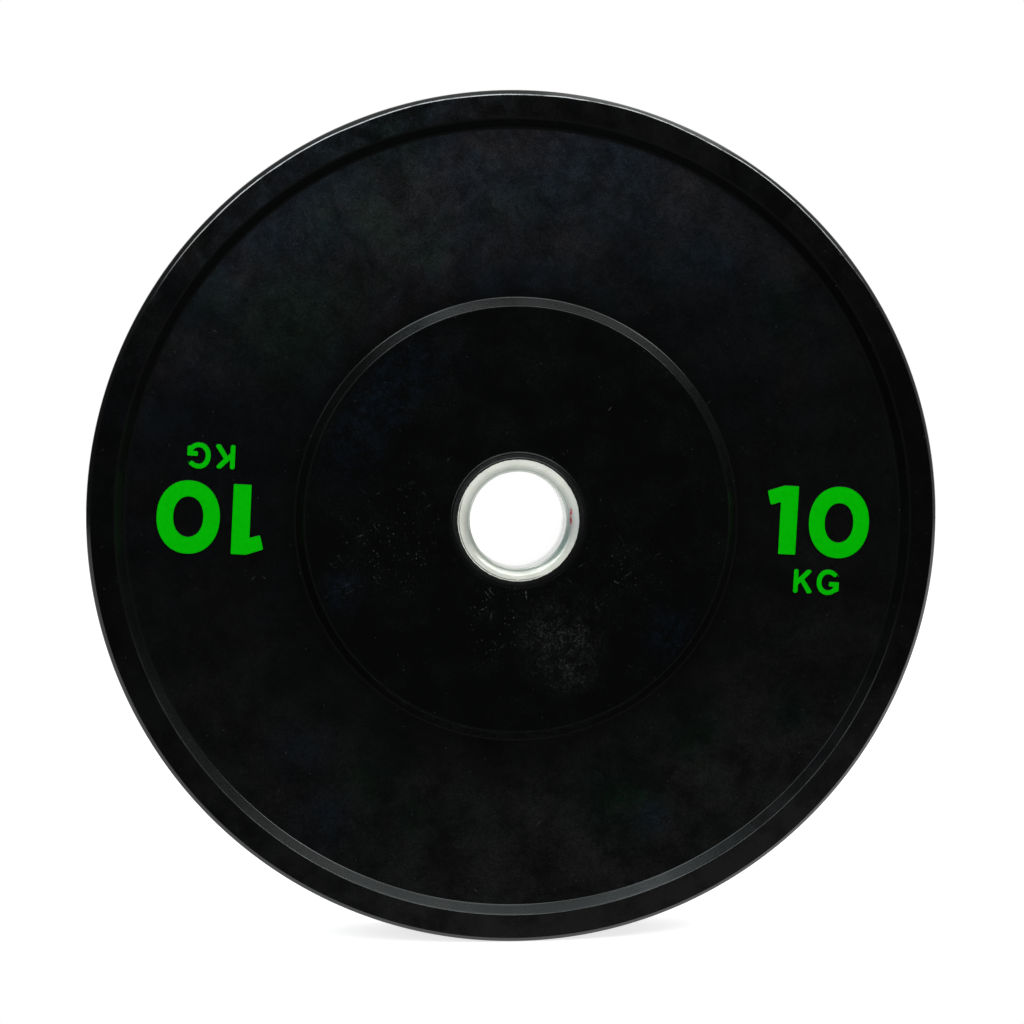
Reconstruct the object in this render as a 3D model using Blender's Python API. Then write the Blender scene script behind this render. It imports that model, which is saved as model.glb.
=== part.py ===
"""Ten kilogram rubber weight plate for a 50 mm bar.

Three pieces are moulded together: a rubber disc with a raised hub and rim on
both faces, a steel bush with rounded mouths, and a hidden anchor ring on the
bush, whose holes the rubber grows through.

The plate stands on its edge. Its axis is +Y, its front faces -Y and the
origin is the middle of the bore. Lengths are in metres.
"""

import math

import bmesh
import bpy
from mathutils import Matrix, Vector

# Rubber disc
PLATE_RADIUS = 0.225
RIM_THICKNESS = 0.056
RIM_WIDTH = 0.0146
RIM_CORNER = 0.0032
FIELD_RECESS = 0.0052
HUB_RADIUS = 0.1123
HUB_RECESS = 0.0005
WALL_RUN = 0.0048
EDGE_ROUND = 0.0008
FOOT_ROUND = 0.0014
COLLAR_HEIGHT = 0.0012
COLLAR_RUN = 0.0022
COLLAR_LIP = 0.0007

# Steel bush
BORE_RADIUS = 0.0253
BUSH_WALL = 0.0072
BUSH_PROUD = 0.0010
BUSH_CHAMFER = 0.0002
MOUTH_ROUND = 0.0040
MOUTH_SWEEP = math.radians(70)
LIP_WIDTH = 0.0016
LIP_DROP = 0.0006
BORE_CHAMFER = 0.0006

# Anchor ring, and the rubber keys that grow through it
ANCHOR_WIDTH = 0.0240
ANCHOR_THICKNESS = 0.0040
ANCHOR_ROUND = 0.0008
WELD_LEG = 0.0035
KEY_HOLES = 12
KEY_HOLE_RADIUS = 0.0060
KEY_GRIP = 0.0010

# Fit and smoothness. A facet count of 4n + 2 puts a flat facet under the plate.
FIT = 0.0003
FACETS = 82
KEY_FACETS = 16
ARC_STEPS = 2
RIM_ARC_STEPS = 4
MOUTH_ARC_STEPS = 4
SHARP_ANGLE = math.radians(32)

# Places that follow from the sizes above
RIM_FACE = RIM_THICKNESS / 2
FIELD_FACE = RIM_FACE - FIELD_RECESS
HUB_FACE = RIM_FACE - HUB_RECESS
BUSH_END = RIM_FACE + BUSH_PROUD
BUSH_RADIUS = BORE_RADIUS + BUSH_WALL
SEAT_RADIUS = BUSH_RADIUS + FIT
COLLAR_TOP_RADIUS = SEAT_RADIUS + COLLAR_LIP
ANCHOR_RADIUS = BUSH_RADIUS + ANCHOR_WIDTH
ANCHOR_FACE = ANCHOR_THICKNESS / 2
KEY_CIRCLE_RADIUS = (SEAT_RADIUS + WELD_LEG + ANCHOR_RADIUS) / 2

TURNED_TO_STAND = (math.radians(90), 0, 0)


def rounded(corners):
    """Give each corner (radius, height, rounding, steps) of an open outline its arc."""
    places = [Vector((corner[0], corner[1])) for corner in corners]
    outline = [places[0]]
    for index in range(1, len(corners) - 1):
        rounding, steps = corners[index][2:]
        place = places[index]
        if rounding == 0:
            outline.append(place)
            continue
        back = (places[index - 1] - place).normalized()
        onward = (places[index + 1] - place).normalized()
        half_angle = back.angle(onward) / 2
        centre = place + (back + onward).normalized() * (rounding / math.sin(half_angle))
        reach = rounding / math.tan(half_angle)
        start = place + back * reach - centre
        end = place + onward * reach - centre
        sweep = -start.angle_signed(end)
        for step in range(steps + 1):
            outline.append(centre + Matrix.Rotation(sweep * step / steps, 2) @ start)
    outline.append(places[-1])
    return outline


def both_faces(front_half):
    """Close an outline of the front half with its mirror image for the back half."""
    back_half = [Vector((place.x, -place.y)) for place in reversed(front_half)]
    return front_half + back_half


def turned(name, outline):
    """Spin a closed outline of (radius, height) about Z into a ring-shaped body."""
    body = bmesh.new()
    corners = [body.verts.new((place.x, 0, place.y)) for place in outline]
    edges = [body.edges.new((corners[i - 1], corners[i])) for i in range(len(corners))]
    bmesh.ops.spin(
        body, geom=corners + edges, cent=(0, 0, 0), axis=(0, 0, 1),
        angle=math.tau, steps=FACETS, use_merge=True,
    )
    bmesh.ops.recalc_face_normals(body, faces=body.faces)
    mesh = bpy.data.meshes.new(name)
    body.to_mesh(mesh)
    body.free()
    piece = bpy.data.objects.new(name, mesh)
    bpy.context.collection.objects.link(piece)
    return piece


def round_pins(name, radius, length):
    """Upright pins on the key circle, used for the holes and for the rubber in them."""
    body = bmesh.new()
    for index in range(KEY_HOLES):
        turn = Matrix.Rotation(math.tau * (index + 0.5) / KEY_HOLES, 4, 'Z')
        place = turn @ Matrix.Translation((KEY_CIRCLE_RADIUS, 0, 0))
        bmesh.ops.create_cone(
            body, cap_ends=True, segments=KEY_FACETS,
            radius1=radius, radius2=radius, depth=length, matrix=place,
        )
    mesh = bpy.data.meshes.new(name)
    body.to_mesh(mesh)
    body.free()
    pins = bpy.data.objects.new(name, mesh)
    bpy.context.collection.objects.link(pins)
    pins.hide_render = True
    pins.display_type = 'WIRE'
    return pins


def combine(piece, tool, operation):
    """Cut or join the tool, then keep the result as the piece's own mesh."""
    change = piece.modifiers.new(tool.name, 'BOOLEAN')
    change.operation = operation
    change.object = tool
    change.solver = 'EXACT'
    graph = bpy.context.evaluated_depsgraph_get()
    mesh = bpy.data.meshes.new_from_object(piece.evaluated_get(graph))
    mesh.name = piece.name
    piece.modifiers.clear()
    piece.data = mesh
    bpy.data.objects.remove(tool)


def finish(piece, parent, colour, roughness, metallic):
    """Shade the piece, give it its material and hang it on the plate's axis."""
    piece.data.shade_smooth()
    piece.data.set_sharp_from_angle(angle=SHARP_ANGLE)
    material = bpy.data.materials.new(piece.name)
    material.use_nodes = True
    shader = material.node_tree.nodes['Principled BSDF']
    shader.inputs['Base Color'].default_value = (*colour, 1)
    shader.inputs['Roughness'].default_value = roughness
    shader.inputs['Metallic'].default_value = metallic
    material.diffuse_color = (*colour, 1)
    piece.data.materials.clear()
    piece.data.materials.append(material)
    piece.parent = parent


def make_rubber_disc(parent):
    """The moulded disc, from the slot for the anchor ring out to the tread."""
    slot_face = ANCHOR_FACE + FIT
    slot_radius = ANCHOR_RADIUS + FIT
    hub_foot = HUB_RADIUS + WALL_RUN
    rim_edge = PLATE_RADIUS - RIM_WIDTH
    field_edge = rim_edge - WALL_RUN
    collar_foot = COLLAR_TOP_RADIUS + COLLAR_RUN
    front_half = rounded([
        (slot_radius, 0, 0, 0),
        (slot_radius, slot_face, ANCHOR_ROUND, ARC_STEPS),
        (SEAT_RADIUS + WELD_LEG + FIT, slot_face, 0, 0),
        (SEAT_RADIUS, slot_face + WELD_LEG + FIT, 0, 0),
        (SEAT_RADIUS, HUB_FACE + COLLAR_HEIGHT, 0, 0),
        (COLLAR_TOP_RADIUS, HUB_FACE + COLLAR_HEIGHT, 0, 0),
        (collar_foot, HUB_FACE, 0, 0),
        (HUB_RADIUS, HUB_FACE, EDGE_ROUND, ARC_STEPS),
        (hub_foot, FIELD_FACE, FOOT_ROUND, ARC_STEPS),
        (field_edge, FIELD_FACE, FOOT_ROUND, ARC_STEPS),
        (rim_edge, RIM_FACE, EDGE_ROUND, ARC_STEPS),
        (PLATE_RADIUS, RIM_FACE, RIM_CORNER, RIM_ARC_STEPS),
        (PLATE_RADIUS, 0, 0, 0),
    ])
    outline = both_faces(front_half[1:-1])
    disc = turned("rubber_disc", outline)
    key_length = 2 * (slot_face + KEY_GRIP)
    keys = round_pins("rubber_keys", KEY_HOLE_RADIUS - FIT, key_length)
    combine(disc, keys, 'UNION')
    finish(disc, parent, colour=(0.006, 0.006, 0.007), roughness=0.42, metallic=0.0)


def make_steel_bush(parent):
    """A turned bush with a rounded mouth, a small step and the bore, alike at both ends."""
    mouth_top = BUSH_END
    mouth_centre = Vector((BORE_RADIUS + LIP_WIDTH + MOUTH_ROUND * math.sin(MOUTH_SWEEP),
                           mouth_top - MOUTH_ROUND))
    mouth = []
    for step in range(MOUTH_ARC_STEPS + 1):
        angle = MOUTH_SWEEP * (1 - step / MOUTH_ARC_STEPS)
        mouth.append(mouth_centre + MOUTH_ROUND * Vector((-math.sin(angle), math.cos(angle))))
    lip_face = mouth[0].y - LIP_DROP
    front_half = [
        Vector((BORE_RADIUS, lip_face - BORE_CHAMFER)),
        Vector((BORE_RADIUS + BORE_CHAMFER, lip_face)),
        Vector((BORE_RADIUS + LIP_WIDTH, lip_face)),
        *mouth,
        Vector((BUSH_RADIUS - BUSH_CHAMFER, BUSH_END)),
        Vector((BUSH_RADIUS, BUSH_END - BUSH_CHAMFER)),
    ]
    bush = turned("steel_bush", both_faces(front_half))
    finish(bush, parent, colour=(0.62, 0.63, 0.60), roughness=0.28, metallic=1.0)


def make_anchor_ring(parent):
    """A flat ring with a weld fillet on each side of the bush and holes for the rubber."""
    front_half = rounded([
        (SEAT_RADIUS, 0, 0, 0),
        (SEAT_RADIUS, ANCHOR_FACE + WELD_LEG, 0, 0),
        (SEAT_RADIUS + WELD_LEG, ANCHOR_FACE, 0, 0),
        (ANCHOR_RADIUS, ANCHOR_FACE, ANCHOR_ROUND, ARC_STEPS),
        (ANCHOR_RADIUS, 0, 0, 0),
    ])
    ring = turned("anchor_ring", both_faces(front_half[1:-1]))
    holes = round_pins("key_holes", KEY_HOLE_RADIUS, 2 * ANCHOR_THICKNESS)
    combine(ring, holes, 'DIFFERENCE')
    finish(ring, parent, colour=(0.30, 0.29, 0.27), roughness=0.55, metallic=1.0)


def main():
    for old in list(bpy.data.objects):
        bpy.data.objects.remove(old)
    plate_axis = bpy.data.objects.new("plate_axis", None)
    plate_axis.rotation_euler = TURNED_TO_STAND
    bpy.context.collection.objects.link(plate_axis)
    make_rubber_disc(plate_axis)
    make_steel_bush(plate_axis)
    make_anchor_ring(plate_axis)


main()
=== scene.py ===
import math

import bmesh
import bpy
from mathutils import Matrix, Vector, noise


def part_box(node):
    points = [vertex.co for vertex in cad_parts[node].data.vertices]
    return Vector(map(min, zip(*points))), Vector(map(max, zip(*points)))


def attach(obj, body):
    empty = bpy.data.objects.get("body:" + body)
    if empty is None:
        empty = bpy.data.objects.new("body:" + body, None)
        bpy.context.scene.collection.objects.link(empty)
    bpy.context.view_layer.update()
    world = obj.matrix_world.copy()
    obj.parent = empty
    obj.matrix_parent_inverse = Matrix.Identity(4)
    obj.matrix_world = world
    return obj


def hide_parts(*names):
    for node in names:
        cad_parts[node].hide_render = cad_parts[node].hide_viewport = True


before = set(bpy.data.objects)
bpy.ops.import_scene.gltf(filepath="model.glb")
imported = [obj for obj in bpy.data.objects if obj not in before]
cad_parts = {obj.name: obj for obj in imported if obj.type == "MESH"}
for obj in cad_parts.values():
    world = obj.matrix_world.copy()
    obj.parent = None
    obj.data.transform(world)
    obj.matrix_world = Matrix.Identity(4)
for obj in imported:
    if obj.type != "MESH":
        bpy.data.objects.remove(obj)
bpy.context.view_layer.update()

# Looks of a ten kilogram rubber weight plate, which stands on its edge with
# its front facing -Y. Lengths are in metres. A turned outline runs in
# (radius, height), where height is measured from the middle of the plate
# towards one face, and both faces are alike.

MM = 0.001
BODY = "root"

# Sizes taken from the frame
DISC_LOW, DISC_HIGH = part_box("rubber_disc")
BUSH_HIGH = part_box("steel_bush")[1]
RING_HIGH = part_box("anchor_ring")[1]
TREAD_RADIUS = DISC_HIGH.z
COLLAR_FACE = DISC_HIGH.y
BUSH_RADIUS = BUSH_HIGH.x
ANCHOR_RADIUS = RING_HIGH.x
ANCHOR_WELD_FACE = RING_HIGH.y
FLOOR_LEVEL = DISC_LOW.z

# Rubber disc
COLLAR_HEIGHT = 1.2 * MM
HUB_FACE = COLLAR_FACE - COLLAR_HEIGHT
HUB_RECESS = 0.5 * MM
RIM_FACE = HUB_FACE + HUB_RECESS
FIELD_RECESS = 5.2 * MM
FIELD_FACE = RIM_FACE - FIELD_RECESS
HUB_RADIUS = 112.3 * MM
HUB_WALL_RUN = 4.8 * MM
RIM_WIDTH = 15.0 * MM
RIM_WALL_RUN = 4.4 * MM
RIM_INNER_RADIUS = TREAD_RADIUS - RIM_WIDTH
FIELD_RADIUS = RIM_INNER_RADIUS - RIM_WALL_RUN
HUB_FOOT_RADIUS = HUB_RADIUS + HUB_WALL_RUN
RIM_BEVEL_WIDTH = 2.7 * MM
RIM_BEVEL_DEPTH = 2.7 * MM
RIM_BEVEL_RADIUS = TREAD_RADIUS - RIM_BEVEL_WIDTH
RIM_BEVEL_EDGE_ROUND = 0.5 * MM
RIM_BEVEL_FOOT_ROUND = 3.0 * MM
EDGE_ROUND = 0.6 * MM
FOOT_ROUND = 1.2 * MM
COLLAR_EDGE_RADIUS = 34.65 * MM
COLLAR_EDGE_DROP = 0.4 * MM
COLLAR_LEDGE_RADIUS = 35.3 * MM
COLLAR_FOOT_RADIUS = 35.7 * MM
COLLAR_LEDGE = 0.3 * MM
COLLAR_EDGE_ROUND = 0.15 * MM
PARTING_LINE_HALF_WIDTH = 0.35 * MM
PARTING_LINE_DEPTH = 0.25 * MM

# Slot and keys round the anchor ring
FIT = 0.3 * MM
ANCHOR_FACE = 2.0 * MM
SLOT_ROUND = 0.8 * MM
WELD_LEG = ANCHOR_WELD_FACE - ANCHOR_FACE
KEYS = 12
KEY_RADIUS = 5.7 * MM
KEY_GRIP = 1.0 * MM
KEY_SEGMENTS = 32
KEY_CIRCLE_RADIUS = (BUSH_RADIUS + FIT + WELD_LEG + ANCHOR_RADIUS) / 2

# Steel bush
BORE_RADIUS = 25.5 * MM
BUSH_FACE = BUSH_HIGH.y - 0.1 * MM
BUSH_EDGE_ROUND = 0.25 * MM
MOUTH_ROUND = 4.9 * MM
MOUTH_SWEEP = math.radians(58.5)
MOUTH_STEPS = 16
LIP_WIDTH = 1.2 * MM
LIP_DROP = 0.6 * MM
LIP_EDGE_ROUND = 0.12 * MM
STEP_RADIUS = BORE_RADIUS + LIP_WIDTH
BORE_CHAMFER = 0.6 * MM
BORE_CHAMFER_FOOT_ROUND = 0.4 * MM
BORE_CHAMFER_EDGE_ROUND = 0.3 * MM

# Rubber flash that laps over the bush
FLASH_TOP = BUSH_HIGH.y
FLASH_OUTER_RADIUS = BUSH_RADIUS + 0.6 * MM
FLASH_BEND_RADIUS = BUSH_RADIUS + 0.1 * MM
FLASH_LEAST_LAP = 0.44 * MM
FLASH_LAP_SPREAD = 0.24 * MM
FLASH_LOW_LEFT_LOSS = 0.22 * MM
FLASH_EDGE = 0.03 * MM
FLASH_SINK_IN_COLLAR = 0.05 * MM
FLASH_SINK_IN_BUSH = 0.02 * MM
FLASH_WAVES = 14
FLASH_SEGMENTS = 720

# Smoothness
SEGMENTS = 288
SHARP_ANGLE = math.radians(35)
SUPPORT_REACH = 0.35 * MM
LONGEST_STRIP = 9.0 * MM
WELD_DISTANCE = 0.001 * MM

# Raised weight marks, the same in each of their four places
MARK_CENTRE = (161.0 * MM, -5.0 * MM)
MARK_TILT = math.radians(-3.0)
MARK_RELIEF = 0.72 * MM
MARK_EDGE_ROUND = 0.34 * MM
MARK_ROOT = 1.0 * MM
PAINT_COAT = 0.07 * MM
PAINT_EDGE_ROUND = 0.03 * MM
PAINT_SPREAD = -0.10 * MM

# Rubber: its colour, its dust, and the tints of its shine, which paint sheen and shade by place, with
# how much of that painted shine the back keeps
NEAR_BLACK = (0.00125, 0.00128, 0.00128, 1)
GREY_DUST = (0.0086, 0.0083, 0.0081, 1)
UNSHADED_WALL_SHINE = (0.92, 1.0, 1.0, 1)
BACK_SHINE = 0.3

# Painted sheen over the rubber's bloom, which grows towards the upper left
SHEEN_SLANT = math.radians(15)

# Tinted patches on the front field, as (x, z, reach) in millimetres
GREEN_PATCHES = ((-115, -89, 32), (-74, -134, 34), (-54, -160, 22), (94, -113, 30),
                 (55, -146, 40), (147, -104, 18), (140, 112, 24))
BLUE_PATCHES = ((-116, -122, 26), (-103, -158, 26), (72, -160, 15), (104, 136, 30))

# Camera, a little to the left of the axis and above it. Lens and sensor are in millimetres.
CAMERA_PLACE = (-0.0818, -1.028, 0.05157)
CAMERA_TARGET = (-0.0035, -0.028, 0.00437)
CAMERA_LENS = 67.18
CAMERA_SENSOR_WIDTH = 36.0

# Rectangular lamps, as place, width, height, power and colour
WHITE = (1.0, 1.0, 1.0)
COOL = (0.86, 0.94, 1.0)
FAINTLY_COOL = (0.90, 0.98, 1.0)
LAMP_TARGET = (0.0, 0.0, 0.0)
LAMPS = {
    "key": ((0.35, -1.9, 1.75), 3.4, 0.7, 20.0, WHITE),
    "window": ((-1.9, -1.6, 1.35), 1.1, 0.8, 7.0, COOL),
    "overhead": ((0.4, -0.12, 1.3), 2.8, 0.6, 6.0, WHITE),
    "overhead_right": ((1.05, -0.45, 1.46), 0.45, 0.45, 1.2, WHITE),
    "left_box": ((-0.76, -0.95, 1.46), 0.45, 1.2, 7.0, FAINTLY_COOL),
    "right_box": ((1.08, -1.05, 1.18), 0.75, 0.6, 4.0, WHITE),
    "overhead_core": ((-0.22, -0.12, 1.2), 0.25, 0.5, 0.55, WHITE),
}

# Soft fills, as the way they shine and their strength
FILLS = {
    "fill": ((0.1, 1.0, -0.35), 0.45),
    "low_fill": ((0.05, 1.0, 0.55), 2.3),
}
FILL_ANGLE = math.radians(50)

# Floor
FLOOR_FRONT = -0.03
FLOOR_BACK = 5.0
FLOOR_HALF_WIDTH = 3.0
FLOOR_GREY = (0.8, 0.8, 0.8, 1)
FLOOR_GLOW = 0.75


def rounded(corners, closed=False):
    """Give each corner (x, y, rounding, steps) of an outline its arc."""
    places = [Vector(corner[:2]) for corner in corners]
    outline = []
    for index, corner in enumerate(corners):
        rounding, steps = corner[2:]
        at_end = not closed and index in (0, len(corners) - 1)
        if rounding == 0 or at_end:
            outline.append(places[index])
            continue
        back = (places[index - 1] - places[index]).normalized()
        onward = (places[(index + 1) % len(places)] - places[index]).normalized()
        half_angle = back.angle(onward) / 2
        centre = places[index] + (back + onward).normalized() * (rounding / math.sin(half_angle))
        reach = rounding / math.tan(half_angle)
        start = places[index] + back * reach - centre
        end = places[index] + onward * reach - centre
        sweep = -start.angle_signed(end)
        for step in range(steps + 1):
            outline.append(centre + Matrix.Rotation(sweep * step / steps, 2) @ start)
    return outline


def supported(outline):
    """Add points near the ends of long runs, so that flats shade flat, and along them."""
    places = []
    for here, there in zip(outline, outline[1:] + outline[:1]):
        places.append(here)
        run = (there - here).length
        if run < 4 * SUPPORT_REACH:
            continue
        along = (there - here) / run
        strips = max(1, round((run - 2 * SUPPORT_REACH) / LONGEST_STRIP))
        for strip in range(strips + 1):
            distance = SUPPORT_REACH + (run - 2 * SUPPORT_REACH) * strip / strips
            places.append(here + along * distance)
    return places


def mirrored(front_half):
    """The mirror image of an outline of the front half, run backwards for the back half."""
    return [Vector((place.x, -place.y)) for place in reversed(front_half)]


def piece_from(body, name):
    """Turn a bmesh into an object that is shaded smooth with crisp edges."""
    bmesh.ops.recalc_face_normals(body, faces=body.faces)
    mesh = bpy.data.meshes.new(name)
    body.to_mesh(mesh)
    body.free()
    piece = bpy.data.objects.new(name, mesh)
    bpy.context.scene.collection.objects.link(piece)
    mesh.shade_smooth()
    mesh.set_sharp_from_angle(angle=SHARP_ANGLE)
    return piece


def turned(name, outline, segments=SEGMENTS):
    """Spin a closed outline of (radius, height) about the plate's axis."""
    body = bmesh.new()
    corners = [body.verts.new((place.x, -place.y, 0)) for place in outline]
    edges = [body.edges.new((corners[i - 1], corners[i])) for i in range(len(corners))]
    bmesh.ops.spin(
        body, geom=corners + edges, cent=(0, 0, 0), axis=(0, 1, 0),
        angle=math.tau, steps=segments, use_merge=True,
    )
    return piece_from(body, name)


def finish(piece, material, slot, *nodes):
    """Give a piece its material, let it ride on the plate and hide the frame's parts that it
    replaces. The slot is not used.
    """
    piece.data.materials.clear()
    piece.data.materials.append(material)
    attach(piece, BODY)
    if nodes:
        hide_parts(*nodes)


def anchor_keys(length):
    """Round pins of rubber that stand in the holes of the anchor ring."""
    body = bmesh.new()
    for index in range(KEYS):
        place = (
            Matrix.Rotation(math.tau * (index + 0.5) / KEYS, 4, 'Y')
            @ Matrix.Translation((KEY_CIRCLE_RADIUS, 0, 0))
            @ Matrix.Rotation(math.radians(90), 4, 'X')
        )
        bmesh.ops.create_cone(
            body, cap_ends=True, segments=KEY_SEGMENTS, radius1=KEY_RADIUS,
            radius2=KEY_RADIUS, depth=length, matrix=place,
        )
    return piece_from(body, "rubber_keys")


def join_to(piece, tool):
    """Join a body to a piece and keep the result as the piece's own mesh."""
    join = piece.modifiers.new(tool.name, 'BOOLEAN')
    join.operation = 'UNION'
    join.object = tool
    graph = bpy.context.evaluated_depsgraph_get()
    joined = bpy.data.meshes.new_from_object(piece.evaluated_get(graph))
    piece.modifiers.clear()
    piece.data = joined
    bpy.data.objects.remove(tool)


def make_rubber(material):
    """The moulded disc: hub, field, rim and tread, with the slot and keys of the anchor ring."""
    slot_face = ANCHOR_FACE + FIT
    front_half = rounded([
        (ANCHOR_RADIUS + FIT, 0, 0, 0),
        (ANCHOR_RADIUS + FIT, slot_face, SLOT_ROUND, 4),
        (BUSH_RADIUS + WELD_LEG + 2 * FIT, slot_face, 0, 0),
        (BUSH_RADIUS, ANCHOR_WELD_FACE + 3 * FIT, 0, 0),
        (BUSH_RADIUS, COLLAR_FACE, 0, 0),
        (COLLAR_EDGE_RADIUS, COLLAR_FACE - COLLAR_EDGE_DROP, COLLAR_EDGE_ROUND, 4),
        (COLLAR_LEDGE_RADIUS, HUB_FACE + COLLAR_LEDGE, COLLAR_EDGE_ROUND, 3),
        (COLLAR_FOOT_RADIUS, HUB_FACE + COLLAR_LEDGE, COLLAR_EDGE_ROUND, 3),
        (COLLAR_FOOT_RADIUS + COLLAR_LEDGE, HUB_FACE, COLLAR_EDGE_ROUND, 3),
        (HUB_RADIUS, HUB_FACE, EDGE_ROUND, 6),
        (HUB_FOOT_RADIUS, FIELD_FACE, FOOT_ROUND, 6),
        (FIELD_RADIUS, FIELD_FACE, FOOT_ROUND, 6),
        (RIM_INNER_RADIUS, RIM_FACE, EDGE_ROUND, 6),
        (RIM_BEVEL_RADIUS, RIM_FACE, RIM_BEVEL_EDGE_ROUND, 6),
        (TREAD_RADIUS, RIM_FACE - RIM_BEVEL_DEPTH, RIM_BEVEL_FOOT_ROUND, 8),
        (TREAD_RADIUS, 2 * PARTING_LINE_HALF_WIDTH, 0, 0),
        (TREAD_RADIUS - PARTING_LINE_DEPTH, PARTING_LINE_HALF_WIDTH, 0, 0),
        (TREAD_RADIUS, 0, 0, 0),
    ])
    outline = front_half[1:] + mirrored(front_half[1:-1])
    disc = turned("rubber_plate", supported(outline))
    join_to(disc, anchor_keys(2 * (slot_face + KEY_GRIP)))
    finish(disc, material, "black_rubber", "rubber_disc")


def make_bush(material):
    """The turned steel bush: flat end, rounded mouth, a small step, then the bore."""
    mouth_centre = Vector((
        STEP_RADIUS + MOUTH_ROUND * math.sin(MOUTH_SWEEP),
        BUSH_FACE - MOUTH_ROUND,
    ))
    mouth = []
    for step in range(MOUTH_STEPS + 1):
        angle = MOUTH_SWEEP * (1 - step / MOUTH_STEPS)
        mouth.append(mouth_centre + MOUTH_ROUND * Vector((-math.sin(angle), math.cos(angle))))
    lip_face = mouth[0].y - LIP_DROP
    steps = rounded([
        (BORE_RADIUS, 0, 0, 0),
        (BORE_RADIUS, lip_face - BORE_CHAMFER, BORE_CHAMFER_FOOT_ROUND, 3),
        (BORE_RADIUS + BORE_CHAMFER, lip_face, BORE_CHAMFER_EDGE_ROUND, 3),
        (STEP_RADIUS, lip_face, LIP_EDGE_ROUND, 3),
        (*mouth[0], LIP_EDGE_ROUND, 3),
        (*mouth[1], 0, 0),
    ])
    outer = rounded([
        (*mouth[-1], 0, 0),
        (BUSH_RADIUS, BUSH_FACE, BUSH_EDGE_ROUND, 4),
        (BUSH_RADIUS, 0, 0, 0),
    ])
    front_half = steps[1:] + mouth[2:-1] + outer[:-1]
    bush = turned("steel_liner", supported(front_half + mirrored(front_half)))
    finish(bush, material, "zinc_plated_steel", "steel_bush")


def make_flash(material, name, side):
    """A thin ragged film of rubber that crept over the edge of the bush."""
    body = bmesh.new()
    rings = []
    for index in range(FLASH_SEGMENTS):
        turn = math.tau * index / FLASH_SEGMENTS
        way = Vector((math.cos(turn), 0, math.sin(turn)))
        ragged = noise.fractal(way * FLASH_WAVES + Vector((0, 4 * side, 0)), 0.6, 2.3, 6)
        lap = FLASH_LEAST_LAP + FLASH_LAP_SPREAD * min(max(0.5 + 0.7 * ragged, 0), 1)
        lap -= FLASH_LOW_LEFT_LOSS * min(max(-way.x - way.z, 0), 1)
        inner = BUSH_RADIUS - lap
        section = [
            (FLASH_OUTER_RADIUS, COLLAR_FACE - FLASH_SINK_IN_COLLAR),
            (FLASH_OUTER_RADIUS, COLLAR_FACE + FLASH_EDGE),
            (FLASH_BEND_RADIUS, FLASH_TOP - FLASH_EDGE),
            (inner + 2 * FLASH_EDGE, FLASH_TOP),
            (inner, FLASH_TOP - FLASH_EDGE),
            (inner, BUSH_FACE - FLASH_SINK_IN_BUSH),
        ]
        rings.append([body.verts.new(way * radius + Vector((0, side * height, 0)))
                      for radius, height in section])
    for here, there in zip(rings, rings[1:] + rings[:1]):
        for i in range(len(here)):
            body.faces.new((here[i - 1], here[i], there[i], there[i - 1]))
    flash = piece_from(body, name)
    finish(flash, material, "black_rubber")


def oval(centre, half_width, half_height, steps, start=0.0, sweep=math.tau, fullness=2.12):
    """Points on a slightly squared oval; a full turn leaves out its last point."""
    last = steps if abs(sweep) < math.tau else steps - 1
    places = []
    for step in range(last + 1):
        turn = start + sweep * step / steps
        across = math.copysign(abs(math.cos(turn)) ** (2 / fullness), math.cos(turn))
        up = math.copysign(abs(math.sin(turn)) ** (2 / fullness), math.sin(turn))
        places.append(Vector((centre[0] + half_width * across, centre[1] + half_height * up)))
    return places


# The outlines of the marks are in millimetres about the middle of a mark.


def numeral_one():
    """An upright stem with a slanting flag."""
    stem_left, stem_right, foot, top = -20.9, -11.5, -15.0, 21.8
    return [rounded([
        (stem_left, foot, 0.6, 4),
        (stem_right, foot, 0.6, 4),
        (stem_right, top, 0.7, 4),
        (-19.4, top, 2.5, 4),
        (-28.4, 18.6, 0.6, 4),
        (-26.4, 11.0, 0.9, 4),
        (stem_left - 0.1, 12.8, 0.4, 2),
    ], closed=True)]


def numeral_zero():
    """A heavy oval ring."""
    return [
        oval((11.2, 3.45), 16.4, 19.2, 96),
        oval((11.2, 3.25), 7.7, 10.5, 72),
    ]


def letter_k():
    """A stem, an arm and a leg with rounded ends."""
    stem_left, stem_right, foot, top = -11.65, -9.05, -35.3, -22.45
    return [rounded([
        (stem_left, top, 1.1, 6),
        (stem_left, foot, 1.1, 6),
        (stem_right, foot, 1.1, 6),
        (stem_right, -30.9, 0.1, 2),
        (-7.7, -29.5, 0.15, 2),
        (-3.95, -35.3, 1.0, 6),
        (-0.55, -35.3, 1.0, 6),
        (-5.7, -27.85, 0.15, 2),
        (-0.85, -22.55, 1.0, 6),
        (-4.45, -22.55, 1.0, 6),
        (stem_right, -27.2, 0.1, 2),
        (stem_right, top, 1.1, 6),
    ], closed=True)]


def letter_g():
    """An open oval whose lower right end turns up into a spur and a bar."""
    centre = (7.1, -28.85)
    spur, bar_end, bar_top, bar_foot = 13.2, 7.6, -28.55, -31.15
    opening = math.radians(33)
    closing = math.radians(-50)
    outer = oval(centre, 6.15, 6.9, 48, opening, math.tau - opening + closing)
    inner = oval((7.25, -28.85), 3.55, 4.25, 36, math.radians(-38),
                 math.radians(38 + 32) - math.tau)
    corners = [(*place, 0, 0) for place in outer[1:]]
    corners += [
        (spur, -33.5, 0.8, 4),
        (spur, bar_top, 0.6, 4),
        (bar_end, bar_top, 0.6, 4),
        (bar_end, bar_foot, 0.8, 4),
        (10.7, bar_foot, 0.2, 2),
    ]
    corners += [(*place, 0, 0) for place in inner[:-1]]
    corners += [(*inner[-1], 1.1, 5), (*outer[0], 1.1, 5)]
    return [rounded(corners, closed=True)]


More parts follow.
